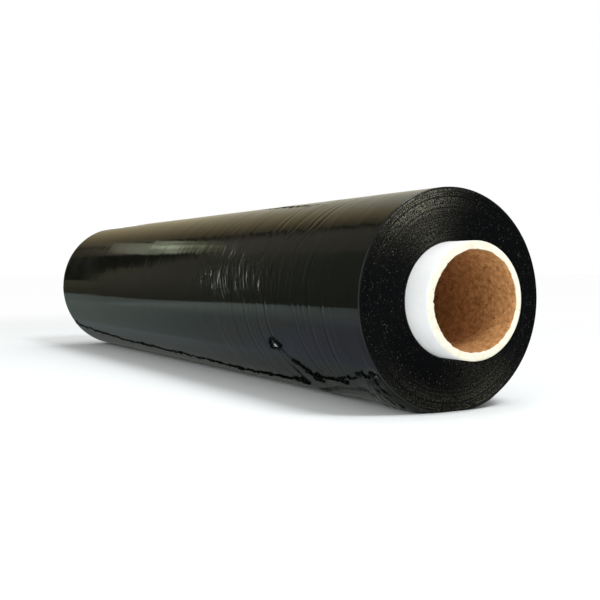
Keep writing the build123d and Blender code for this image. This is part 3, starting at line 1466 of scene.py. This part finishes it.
    def lip(self, x: np.ndarray, angle: np.ndarray, thick: Callable[[np.ndarray], np.ndarray],
            seed: int, height: np.ndarray | None = None) -> np.ndarray:
        """Crumpled bead along a torn line, at even steps along it, thicker in random patches.

        Args:
            x: X of points of the line.
            angle: Angle below the front of each point.
            thick: Radius of the bead as a function of X.
            seed: Seed of its crumples.
            height: Height of each point above the winding, or None for the height of the torn edge.

        Returns:
            Rings of points, one for each step.
        """
        if height is None:
            height = 0.20 + 0.35 * self.slackness(x)
        line = self.sizes.points(x, angle, self.sizes.film_radius + height)
        travelled = np.concatenate(([0.0], np.cumsum(np.linalg.norm(np.diff(line, axis=0), axis=1))))
        even = np.linspace(0.0, travelled[-1], int(travelled[-1] / self.bead_step))
        path = np.stack([np.interp(even, travelled, line[:, axis]) for axis in range(3)], axis=-1)
        share = self.sizes.share(path[:, 0])
        patchy = 0.40 + 1.1 * np.abs(random_field(share, np.zeros_like(share), (80, 1), seed + 9))
        return crumpled_tube(self.sizes, path, thick(path[:, 0]) * patchy, 1.5, (1.3, seed))

    def shade_bead(self, corners: Table, seed: int) -> np.ndarray:
        """Dark bead of painted shade on the gathers, above the higher of the place under it and the next one
        nearer.

        Args:
            corners: X and angle below the front of its corners.
            seed: Seed of its crumples.

        Returns:
            Rings of points, one for each step.
        """
        places, angles = np.array(corners).T
        angle = np.linspace(angles[0], angles[-1], 200)
        x = np.interp(angle, angles, places)
        here, nearer = (self.lift(at, angle, self.torn_angle(at)) for at in (x, x + self.shade_bead_reach))
        height = self.shade_bead_height + np.maximum(here, nearer)
        return self.lip(x, angle, lambda at: np.full(at.shape, self.shade_bead_thick), seed, height)

    def shards(self) -> list[np.ndarray]:
        """Small pointed shreds of film along the torn edge and round the puncture.

        Each is a crumpled tube that narrows to a point, on a line that leaves the edge at a random angle.
        Their places are drawn at random, closest where the tear is thickest.

        Returns:
            Rings of each shred.
        """
        draw = np.random.default_rng(self.shard_seed)
        half = self.sizes.film_width / 2 - 2.0
        place = np.concatenate([
            draw.uniform(-half, 150.0, 170), draw.normal(153.0, 5.0, 18), draw.normal(176.0, 4.5, 40),
            draw.uniform(183.0, half, 40), draw.normal(243.0, 2.0, 6),
        ])
        place = np.clip(place, -half, half)
        angle = self.torn_angle(place)
        length = draw.uniform(0.8, 2.9, place.size)
        heading = draw.normal(0.0, 0.75, place.size) + math.pi * (draw.random(place.size) < 0.6)
        swing = np.linspace(0.0, 2.0 * math.pi, 15, endpoint=False)
        hole = self.puncture
        place = np.append(place, hole.place + 0.9 * hole.reach * np.cos(swing))
        around = np.degrees(0.9 * hole.rise / self.sizes.film_radius)
        angle = np.append(angle, hole.angle + around * np.sin(swing))
        length = np.append(length, draw.uniform(1.0, 3.4, swing.size))
        heading = np.append(heading, math.pi / 2 - swing + draw.normal(0.0, 0.4, swing.size))
        way = np.linspace(0.0, 1.0, 7)
        shreds = []
        for shred in range(place.size):
            run = length[shred] * way
            x = np.clip(place[shred] + run * math.sin(heading[shred]), -half, half)
            turn = np.degrees(run * math.cos(heading[shred]) / self.sizes.film_radius)
            lift = self.sizes.film_radius + 0.45 + 0.25 * run
            line = self.sizes.points(x, angle[shred] + turn, lift)
            thick = 0.34 * (1.02 - way) ** 0.8
            shreds.append(crumpled_tube(self.sizes, line, thick, 1.5, (0.7, 300 + shred), 7))
        return shreds

    def torn_lip(self, skin: bpy.types.Material) -> bpy.types.Object:
        """Make the beads on the torn edge and the crack, dark beads of painted shade, tufts and shreds, and
        the puncture's rim.

        Args:
            skin: Finish of the film.

        Returns:
            The piece.
        """
        edge_x = np.linspace(0.004, 0.996, 6000) * self.sizes.film_width - self.sizes.film_width / 2

        def edge_bead(x: np.ndarray) -> np.ndarray:
            """Radius of the bead at each X, largest at the bunched place."""
            return self.edge_thick + self.bunch_thick * bell(x - self.bunch_x, self.bunch_reach)

        edge = self.lip(edge_x, self.torn_angle(edge_x), edge_bead, 51)
        crack_x, crack_angle = np.array(self.crack).T
        crack = self.lip(crack_x, crack_angle, lambda x: np.full(x.shape, self.crack_thick), 52)
        tubes = [(edge, False), (crack, False)]
        # Dark beads on the gathers, painted shade lines between the folds.
        tubes += [(self.shade_bead(corners, 53 + number), False) for number, corners in enumerate(self.shade_beads)]
        tubes += [(tuft.rings(self.sizes), False) for tuft in self.tufts]
        tubes += [(rings, False) for rings in self.shards()]
        tubes.append((self.puncture.rings(self.sizes), True))
        points, faces, caps = join_tubes(tubes)
        points[..., 2] = np.maximum(points[..., 2], 0.02)
        return make_piece("film_torn_lip", points, faces, [skin], None, caps)

    def glint_shred(self, skin: bpy.types.Material) -> bpy.types.Object:
        """Make the small pale shred in the puncture, a painted highlight that stands for the glint there.

        Args:
            skin: Pale finish of the shred, a painted highlight.

        Returns:
            The piece.
        """
        hole = self.puncture
        # The pale shred paints the glint in the hole.
        shred = Tuft(hole.place + 1.8, hole.angle + 0.4, 1.0, 0.32, 85)
        points, faces, caps = join_tubes([(shred.rings(self.sizes), False)])
        return make_piece("film_painted_glint_shred", points, faces, [skin], None, caps)


@dataclass
class PaperCore:
    """Paper tube under the film: white outside, cream cut ends with a ragged inner lip, kraft paper inside.

    Attributes:
        sizes: Main sizes of the roll.
        edge: Width of the broken outer edge.
        inner_edge: Width of the broken inner edge.
        columns: Points round the tube.
        mouth: How far the inner lip stands outwards of the bore, each with its angle below the front.
    """

    sizes: RollSizes
    edge: float = 0.5
    inner_edge: float = 0.3
    columns: int = 300
    mouth: Table = (
        (0.0, 0.05),
        (45.0, -0.15),
        (90.0, -0.55),
        (135.0, 0.0),
        (180.0, 0.45),
        (225.0, 0.10),
        (270.0, -0.50),
        (315.0, -0.65),
        (345.0, -0.20),
        (360.0, 0.05),
    )

    def build(self, outside: bpy.types.Material, cut: bpy.types.Material,
              inside: bpy.types.Material) -> bpy.types.Object:
        """Make the tube as one closed mesh from a section that runs round its wall.

        The cut ends are roughened along X, and their inner lip is out of round, with a random radius and a
        few deeper bites.

        Args:
            outside: Finish of the outer ply.
            cut: Finish of the cut ends.
            inside: Finish of the inner ply.

        Returns:
            The piece.
        """
        half = self.sizes.core_length / 2
        outer = self.sizes.core_radius
        bore = self.sizes.bore_radius
        stand_out = half - self.sizes.film_width / 2
        reach = np.concatenate((np.linspace(0.0, 1.0, 12)[1:], [1.6, 4.0, 9.0]))
        outer_x = half - self.edge - reach * stand_out
        wall = outer - bore
        ring_share = np.array([0.0, 0.06, 0.14, 0.3, 0.5, 0.7, 0.84, 0.92, 0.97, 1.0])
        ring_depth = ring_share * wall
        ring_radius = outer - ring_depth
        outer_corner = np.clip(self.edge - ring_depth, 0.0, None)
        inner_corner = np.clip(ring_depth - wall + self.inner_edge, 0.0, None)
        inner_x = half - 0.5 - np.geomspace(0.4, half - 1.0, 60)
        x_half = np.concatenate((outer_x[::-1], half - (outer_corner + inner_corner), inner_x))
        outer_rows, inner_rows = np.full(outer_x.size, outer), np.full(inner_x.size, bore)
        radius_half = np.concatenate((outer_rows, ring_radius, inner_rows))
        x = np.concatenate((x_half, -x_half[::-1]))[:, None]
        radius = np.concatenate((radius_half, radius_half[::-1]))[:, None]
        angle = np.linspace(0.0, FULL_TURN, self.columns, endpoint=False)[None, :]
        turn = angle / FULL_TURN
        share = x / self.sizes.core_length + 0.5
        depth = (outer - radius) / wall
        near_end = bell(np.abs(x) - half, 0.9)
        lip = near_end * smooth((depth - 0.55) / 0.45)
        side = np.where(x > 0, 0.9, 0.1)
        ragged = random_field(side, turn, (2, 110), 61) + 0.8 * random_field(side, turn, (2, 46), 62)
        bites = np.clip(random_field(side, turn, (2, 70), 63) - 0.45, 0.0, None)
        mouth = follow(angle, self.mouth)
        radius = radius + lip * np.clip(mouth + 0.22 * ragged + 0.9 * bites, -0.9, 0.9)
        rough_cut = 0.07 * random_field(depth, turn, (9, 150), 64)
        rough_cut = rough_cut + 0.06 * random_field(depth, turn, (4, 60), 65)
        on_ring = near_end * smooth(depth / 0.1)
        x = x - np.sign(x) * on_ring * np.clip(0.10 + rough_cut + 0.5 * lip * bites, 0.0, 0.8)
        dents = 0.05 * random_field(share, turn, (60, 30), 66)
        dents = dents + 0.10 * random_field(share, turn, (16, 8), 67)
        radius = radius - dents * (depth > 0.999)
        points = self.sizes.points(x, angle, radius)
        faces = grid_faces(x.shape[0], self.columns, True, True)
        ring_start = outer_x.size
        ring_end = ring_start + ring_radius.size - 1
        finish_half = np.full(x_half.size, 2)
        finish_half[:ring_start] = 0
        finish_half[ring_start:ring_end] = 1
        finish = np.concatenate((finish_half[:-1], [2], finish_half[:-1][::-1], [0]))
        finish_of_face = np.repeat(finish, self.columns)
        return make_piece("core_tube", points, faces, [outside, cut, inside], finish_of_face)


# Studio


@dataclass(frozen=True)
class Card:
    """A flat card that only shows in reflections, with a glow that changes across it.

    Attributes:
        name: Name of the card.
        corners: Four corners in metres, going round.
        glow: Colours as the film mirrors them, each with its share of the way from the first corner to the
            second.
        levels: Factors of the glow, each with its share of the way from the second corner to the third.
        strength: Factor of the whole glow.
    """

    name: str
    corners: tuple[Place, Place, Place, Place]
    glow: Stops
    levels: Table = EVEN
    strength: float = 1.0

    @classmethod
    def square(cls, name: str, low: Place, high: Place, glow: Stops,
               levels: Table = EVEN, strength: float = 1.0) -> "Card":
        """Card square to the axes.

        Args:
            name: Name of the card.
            low: Lowest corner in metres.
            high: Highest corner in metres; one of the three directions has no length.
            glow: Colours, each with its place in metres along the first of the card's two directions.
            levels: Factors of the glow, each with its place in metres along the second.
            strength: Factor of the whole glow.

        Returns:
            The card.
        """
        first, second = (axis for axis in range(3) if high[axis] > low[axis])
        across = tuple(high[axis] if axis == first else low[axis] for axis in range(3))
        over = tuple(high[axis] if axis == second else low[axis] for axis in range(3))
        first_length = high[first] - low[first]
        second_length = high[second] - low[second]
        stops = tuple(((place - low[first]) / first_length, colour) for place, colour in glow)
        factors = tuple(((place - low[second]) / second_length, level) for place, level in levels)
        return cls(name, (low, across, high, over), stops, factors, strength)

    def build(self) -> bpy.types.Object:
        """Make the card, hidden from the camera and from all light but mirror reflections.

        Its glow is the colour along the first side times the level along the second.

        Returns:
            The card.
        """
        mesh = bpy.data.meshes.new(self.name)
        mesh.from_pydata(self.corners, [], [(0, 1, 2, 3)])
        mesh.uv_layers.new().data.foreach_set("uv", (0.0, 0.0, 1.0, 0.0, 1.0, 1.0, 0.0, 1.0))
        material, sheet = surface(self.name)
        flat = sheet.node("ShaderNodeTexCoord").outputs["UV"]
        parts = sheet.node("ShaderNodeSeparateXYZ", None, {0: flat})
        greys = tuple((place, (level, level, level)) for place, level in self.levels)
        colour = sheet.ramp(Term(sheet, parts.outputs["X"]), self.glow)
        level = sheet.ramp(Term(sheet, parts.outputs["Y"]), greys)
        shining = {"Color": sheet.product(colour, level), "Strength": self.strength}
        glow = sheet.node("ShaderNodeEmission", None, shining)
        sheet.node("ShaderNodeOutputMaterial", None, {"Surface": glow.outputs[0]})
        material.cycles.emission_sampling = "NONE"
        mesh.materials.append(material)
        card = add_object(self.name, mesh)
        for ray in Unseen:
            setattr(card, ray.value, False)
        return card


def even_glow(red: float, green: float, blue: float) -> Stops:
    """Glow of one colour all over."""
    return ((0.0, (red, green, blue)),)


def facing(view: Vector) -> Euler:
    """Turn of a lamp or camera that looks along a direction."""
    return view.to_track_quat("-Z", "Y").to_euler()


@dataclass(frozen=True)
class Lamp:
    """A square soft lamp.

    Attributes:
        name: Name of the lamp.
        place: Its middle, in metres.
        aim: Point that it faces, in metres.
        width: Length of its sides, in metres.
        power: Its power in watts.
    """

    name: str
    place: Place
    aim: Place
    width: float
    power: float

    def build(self) -> bpy.types.Object:
        """Make the lamp.

        Returns:
            The lamp.
        """
        light = bpy.data.lights.new(self.name, "AREA")
        light.shape = "SQUARE"
        light.size = self.width
        light.energy = self.power
        lamp = add_object(self.name, light)
        lamp.location = self.place
        lamp.rotation_euler = facing(Vector(self.aim) - Vector(self.place))
        return lamp


@dataclass
class Studio:
    """Pale floor, soft lamps, reflection cards, white surroundings and the camera.

    Attributes:
        sizes: Main sizes of the roll.
        floor_reach: Half the width of the floor in metres.
        floor_colour: Colour of the floor.
        fade_from: Distance from the roll in metres where the floor starts to fade to white.
        fade_to: Distance from the roll in metres where it is whitest.
        fade_share: Share of white there.
        fill: Level of light from all round.
        frame_width: Width of the lens's frame in millimetres.
        focal_length: Focal length of the lens in millimetres.
        camera_x: X of the camera in metres.
        camera_y: Y of the camera in metres.
        camera_rise: Height of the camera above the roll's axis in metres.
        heading: Direction of the view in degrees from +X towards +Y.
        dip: Angle of the view below level in degrees.
        cards: Cards that the film mirrors.
        lamps: Lamps that light the roll and the floor.
    """

    sizes: RollSizes
    floor_reach: float = 14.0
    floor_colour: Colour = (0.875, 0.90, 0.898)
    fade_from: float = 0.08
    fade_to: float = 0.70
    fade_share: float = 0.97
    fill: float = 0.55
    frame_width: float = 36.0
    focal_length: float = 54.85
    camera_x: float = 0.6003
    camera_y: float = -0.2861
    camera_rise: float = 0.0145
    heading: float = 150.29
    dip: float = 1.862
    cards: tuple[Card, ...] = (
        # The glow of floor_card and near_floor_card falls towards the roll: a painted shadow of the roll in
        # the mirrored floor.
        Card.square("floor_card", (-0.60, -0.42, 0.0006), (0.36, 0.42, 0.0006),
                    ((-0.25, (0.61, 0.74, 0.66)), (-0.05, (0.55, 0.67, 0.65)), (0.04, (0.60, 0.67, 0.67)),
                     (0.11, (0.65, 0.71, 0.91)), (0.20, (0.62, 0.68, 0.89))),
                    ((-0.30, 1.0), (-0.20, 1.0), (-0.155, 0.85), (-0.115, 0.54), (-0.08, 0.46),
                     (-0.05, 0.38), (-0.02, 0.16), (0.0, 0.08), (0.02, 0.16), (0.05, 0.38), (0.08, 0.46),
                     (0.155, 0.85), (0.20, 1.0)), 0.89),
        Card("near_floor_card", ((-0.60, -0.05, 0.0012), (-0.60, 0.03, 0.0012), (0.33, 0.03, 0.0012),
                                 (0.33, -0.05, 0.0012)),
             ((0.0, (0.21, 0.245, 0.255)), (0.2, (0.135, 0.147, 0.143)), (0.4, (0.09, 0.094, 0.085)),
              (1.0, (0.05, 0.05, 0.043))),
             ((0.0, 1.15), (0.6, 1.15), (0.8, 0.95), (0.87, 1.1), (0.91, 4.2), (1.0, 4.2))),
        Card.square("far_floor_card", (-1.6, -0.246, 0.0008), (-0.30, -0.12, 0.0008),
                    ((-0.80, (0.27, 0.325, 0.295)), (-0.42, (0.25, 0.30, 0.28)),
                     (-0.30, (0.42, 0.50, 0.50)))),
        Card("skirt_card", ((-1.4, -0.245, 0.0010), (-0.30, -0.245, 0.0010), (-0.45, -0.195, 0.0010),
                            (-1.4, -0.215, 0.0010)), even_glow(0.066, 0.062, 0.044)),
        Card("kerb_card", ((-0.32, -0.2452, 0.0), (0.50, -0.2452, 0.0), (0.50, -0.2452, 0.040),
                           (-0.32, -0.2452, 0.0037)), even_glow(0.48, 0.57, 0.58)),
        Card.square("front_low_card", (-3.2, -0.246, 0.0), (0.5, -0.246, 0.335),
                    ((-0.80, (0.156, 0.144, 0.09)), (-0.45, (0.157, 0.147, 0.127)),
                     (-0.29, (0.143, 0.148, 0.124)), (-0.24, (0.089, 0.098, 0.082))),
                    ((0.0, 0.45), (0.05, 0.68), (0.13, 1.0))),
        Card.square("front_high_card", (-3.2, -0.246, 0.335), (0.5, -0.246, 2.6),
                    ((-3.2, (0.213, 0.184, 0.161)), (-1.0, (0.211, 0.191, 0.166)),
                     (-0.5, (0.205, 0.185, 0.159)), (0.5, (0.164, 0.141, 0.123)))),
        Card.square("front_shade_card", (-1.55, -0.2445, 0.092), (-0.79, -0.2445, 0.435),
                    even_glow(0.007, 0.007, 0.005)),
        Card.square("front_dim_card", (-0.79, -0.2445, 0.21), (-0.68, -0.2445, 0.41),
                    even_glow(0.07, 0.067, 0.05)),
        Card.square("left_card", (-1.5, -0.246, 0.0), (-1.5, 1.6, 2.6),
                    ((-0.246, (0.18, 0.155, 0.13)), (-0.16, (0.133, 0.109, 0.085)),
                     (-0.135, (0.018, 0.013, 0.010)), (-0.09, (0.018, 0.013, 0.010)),
                     (-0.07, (0.154, 0.130, 0.083)), (0.02, (0.215, 0.171, 0.095)),
                     (0.13, (0.325, 0.26, 0.148)), (0.25, (0.41, 0.34, 0.205)), (0.42, (0.50, 0.43, 0.27)),
                     (0.62, (0.57, 0.52, 0.39)), (0.85, (0.60, 0.57, 0.46)))),
        Card.square("left_low_card", (-1.49, -0.246, 0.0), (-1.49, -0.10, 0.475),
                    even_glow(0.077, 0.068, 0.042)),
        Card.square("low_window_card", (-1.48, -0.235, 0.03), (-1.48, 0.45, 0.33),
                    even_glow(0.93, 1.0, 0.97), ((0.03, 1.0), (0.20, 1.0), (0.33, 0.06)), 3.0),
        Card("window_left_card", ((-0.65, -0.036, 0.256), (-0.65, -0.076, 0.321), (-0.65, -0.172, 0.284),
                                  (-0.65, -0.120, 0.237)),
             ((0.0, (0.20, 0.18, 0.12)), (0.25, (0.50, 0.47, 0.33)), (0.6, (0.62, 0.66, 0.48)),
              (1.0, (0.74, 0.83, 0.58))), ((0.0, 0.72), (0.5, 0.95), (0.8, 1.0), (1.0, 0.9)), 0.88),
        Card("window_right_card", ((-0.65, -0.056, 0.325), (-0.65, -0.112, 0.420), (-0.65, -0.205, 0.375),
                                   (-0.65, -0.178, 0.291)),
             ((0.0, (0.50, 0.58, 0.38)), (0.16, (0.90, 1.0, 0.70)), (0.28, (0.80, 0.87, 0.63)),
              (0.45, (0.44, 0.47, 0.31)), (0.65, (0.31, 0.33, 0.20)), (1.0, (0.24, 0.25, 0.16))),
             ((0.0, 0.40), (0.22, 0.52), (0.32, 0.28), (0.40, 1.0), (0.62, 1.0), (0.70, 0.42), (0.82, 0.62),
              (1.0, 0.45)), 2.05),
        Card.square("streak_card", (-1.495, 0.76, 0.36), (-1.495, 0.83, 0.64),
                    even_glow(0.035, 0.035, 0.03)),
        Card.square("back_card", (-0.35, 0.46, 0.0), (3.2, 0.46, 1.3), even_glow(0.10, 0.10, 0.10)),
        Card.square("right_card", (1.7, -2.0, 0.0), (1.7, 0.46, 2.6), even_glow(0.04, 0.04, 0.035)),
        Card.square("camera_side_card", (0.5, -1.3, 0.0), (1.7, -1.3, 2.6), even_glow(0.05, 0.05, 0.045)),
        Card.square("rim_strip_card", (0.25, -0.243, 0.10), (0.33, -0.243, 0.27), even_glow(1.0, 1.0, 1.0),
                    strength=2.5),
    )
    lamps: tuple[Lamp, ...] = (
        Lamp("key_lamp", (0.90, 0.20, 1.15), (0.25, 0.0, 0.05), 0.40, 9.7),
        Lamp("fill_lamp", (1.25, -0.62, 0.24), (0.27, 0.0, 0.055), 0.5, 0.7),
        Lamp("side_lamp", (0.62, -0.95, 0.12), (0.26, 0.0, 0.05), 0.4, 1.9),
        Lamp("top_lamp", (-0.1, 0.45, 1.7), (0.0, 0.0, 0.05), 1.2, 8.0),
        Lamp("front_lamp", (0.35, -1.5, 0.75), (0.1, 0.0, 0.05), 0.9, 7.0),
    )

    def build(self) -> None:
        """Set up the whole studio."""
        self.floor()
        self.surroundings()
        for light in (*self.cards, *self.lamps):
            light.build()
        self.camera()

    @staticmethod
    def seen_directly(sheet: NodeSheet) -> Term:
        """Share that is 1 for what the camera sees, straight, mirrored or through glass.

        Args:
            sheet: Node sheet to work on.

        Returns:
            The share.
        """
        path = sheet.node("ShaderNodeLightPath")
        seen = ("Is Camera Ray", "Is Glossy Ray", "Is Transmission Ray")
        straight, mirrored, through = (Term(sheet, path.outputs[name]) for name in seen)
        return sheet.math("MAXIMUM", sheet.math("MAXIMUM", straight, mirrored), through)

    def floor(self) -> None:
        """Make the floor: pale and plainly lit round the roll, and fading to glowing white further off."""
        reach = self.floor_reach
        mesh = bpy.data.meshes.new("floor")
        corners = [(-reach, -reach, 0), (reach, -reach, 0), (reach, reach, 0), (-reach, reach, 0)]
        mesh.from_pydata(corners, [], [(0, 1, 2, 3)])
        material, sheet = surface("pale_floor")
        lit = sheet.node("ShaderNodeBsdfDiffuse", None, {"Color": (*self.floor_colour, 1.0)})
        white = sheet.node("ShaderNodeEmission", None, {"Color": WHITE, "Strength": 1.0})
        _, x, y, _ = sheet.place()
        beyond = sheet.math("MAXIMUM", sheet.math("ABSOLUTE", x) - self.sizes.film_width / 2 * MM, 0.0)
        faded = sheet.step(beyond.hypotenuse(y), self.fade_from, self.fade_to, 0.0, self.fade_share)
        share = self.seen_directly(sheet) * faded
        both = sheet.node("ShaderNodeMixShader", None, {0: share, 1: lit.outputs[0], 2: white.outputs[0]})
        sheet.node("ShaderNodeOutputMaterial", None, {"Surface": both.outputs[0]})
        mesh.materials.append(material)
        add_object("floor", mesh)

    def surroundings(self) -> None:
        """Make the surroundings white where they are seen and an even fill light elsewhere."""
        world = bpy.data.worlds.new("surroundings")
        world.use_nodes = True
        bpy.context.scene.world = world
        sheet = NodeSheet(world.node_tree)
        fill = sheet.node("ShaderNodeBackground", None, {"Color": WHITE, "Strength": self.fill})
        white = sheet.node("ShaderNodeBackground", None, {"Color": WHITE, "Strength": 1.0})
        seen = self.seen_directly(sheet)
        both = sheet.node("ShaderNodeMixShader", None, {0: seen, 1: fill.outputs[0], 2: white.outputs[0]})
        sheet.node("ShaderNodeOutputWorld", None, {"Surface": both.outputs[0]})

    def camera(self) -> None:
        """Add the camera at the photograph's place and make it the scene's own."""
        heading, dip = math.radians(self.heading), math.radians(self.dip)
        view = Vector((math.cos(dip) * math.cos(heading), math.cos(dip) * math.sin(heading), -math.sin(dip)))
        lens = bpy.data.cameras.new("camera")
        lens.sensor_width = self.frame_width
        lens.lens = self.focal_length
        lens.clip_start = 0.01
        lens.clip_end = 100.0
        camera = add_object("camera", lens)
        camera.location = (self.camera_x, self.camera_y, self.sizes.axis_height * MM + self.camera_rise)
        camera.rotation_euler = facing(view)
        bpy.context.scene.camera = camera


def main() -> None:
    """Build the studio and the roll, piece by piece."""
    logging.basicConfig(level=logging.INFO, format="%(message)s")
    bpy.context.scene.view_settings.view_transform = "Standard"
    sizes = RollSizes.from_frame()
    axis_z = sizes.axis_height * MM

    Studio(sizes).build()

    skin = FilmSkin("film_skin", axis_z).build()
    loose_skin = FilmSkin("film_loose_skin", axis_z, gloss=0.09, haze=0.16, crumple_mm=0.05).build()
    torn_skin = FilmSkin("film_torn_skin", axis_z, (0.0030, 0.0033, 0.0030), 0.30, 0.45, 0.05, 0.35).build()
    # Pale film for the shred in the puncture: a painted highlight of the glint there.
    glint_skin = FilmSkin("film_painted_glint_skin", axis_z, (0.42, 0.44, 0.44), 0.25, 0.40, 0.30).build()
    edges = WoundEdge(axis_z).build()
    # The rims' base is twice as light as the film's: a painted highlight along the rims, beside their real
    # reflection.
    rims = FilmSkin("film_rim", axis_z, (0.011, 0.0115, 0.0115), 0.20, 0.30, 0.32).build()
    dress(FilmWinding(sizes).build(skin, edges, rims), "film_roll")
    tail = FilmTail(sizes)
    dress(tail.build(loose_skin))
    dress(tail.torn_lip(torn_skin))
    dress(tail.glint_shred(glint_skin))

    white_ply = PaperFace("core_white_paper", (0.88, 0.89, 0.89), (0.84, 0.86, 0.86), (0.70, 0.70, 0.68),
                          0.76, 60.0, 0.04, 0.55)
    cut_board = PaperFace("core_cut_board", (0.89, 0.87, 0.75), (0.80, 0.75, 0.59), (0.56, 0.46, 0.30),
                          0.70, 240.0, 0.26, 0.80, plies_per_m=1500.0, axis_z=axis_z)
    kraft_ply = PaperFace("core_kraft_paper", (0.69, 0.380, 0.158), (0.40, 0.190, 0.064),
                          (0.16, 0.066, 0.023), 0.66, 420.0, 0.20, 0.78, stain=0.36)
    core = PaperCore(sizes).build(white_ply.build(), cut_board.build(), kraft_ply.build())
    dress(core, "core")


if __name__ == "__main__":
    main()
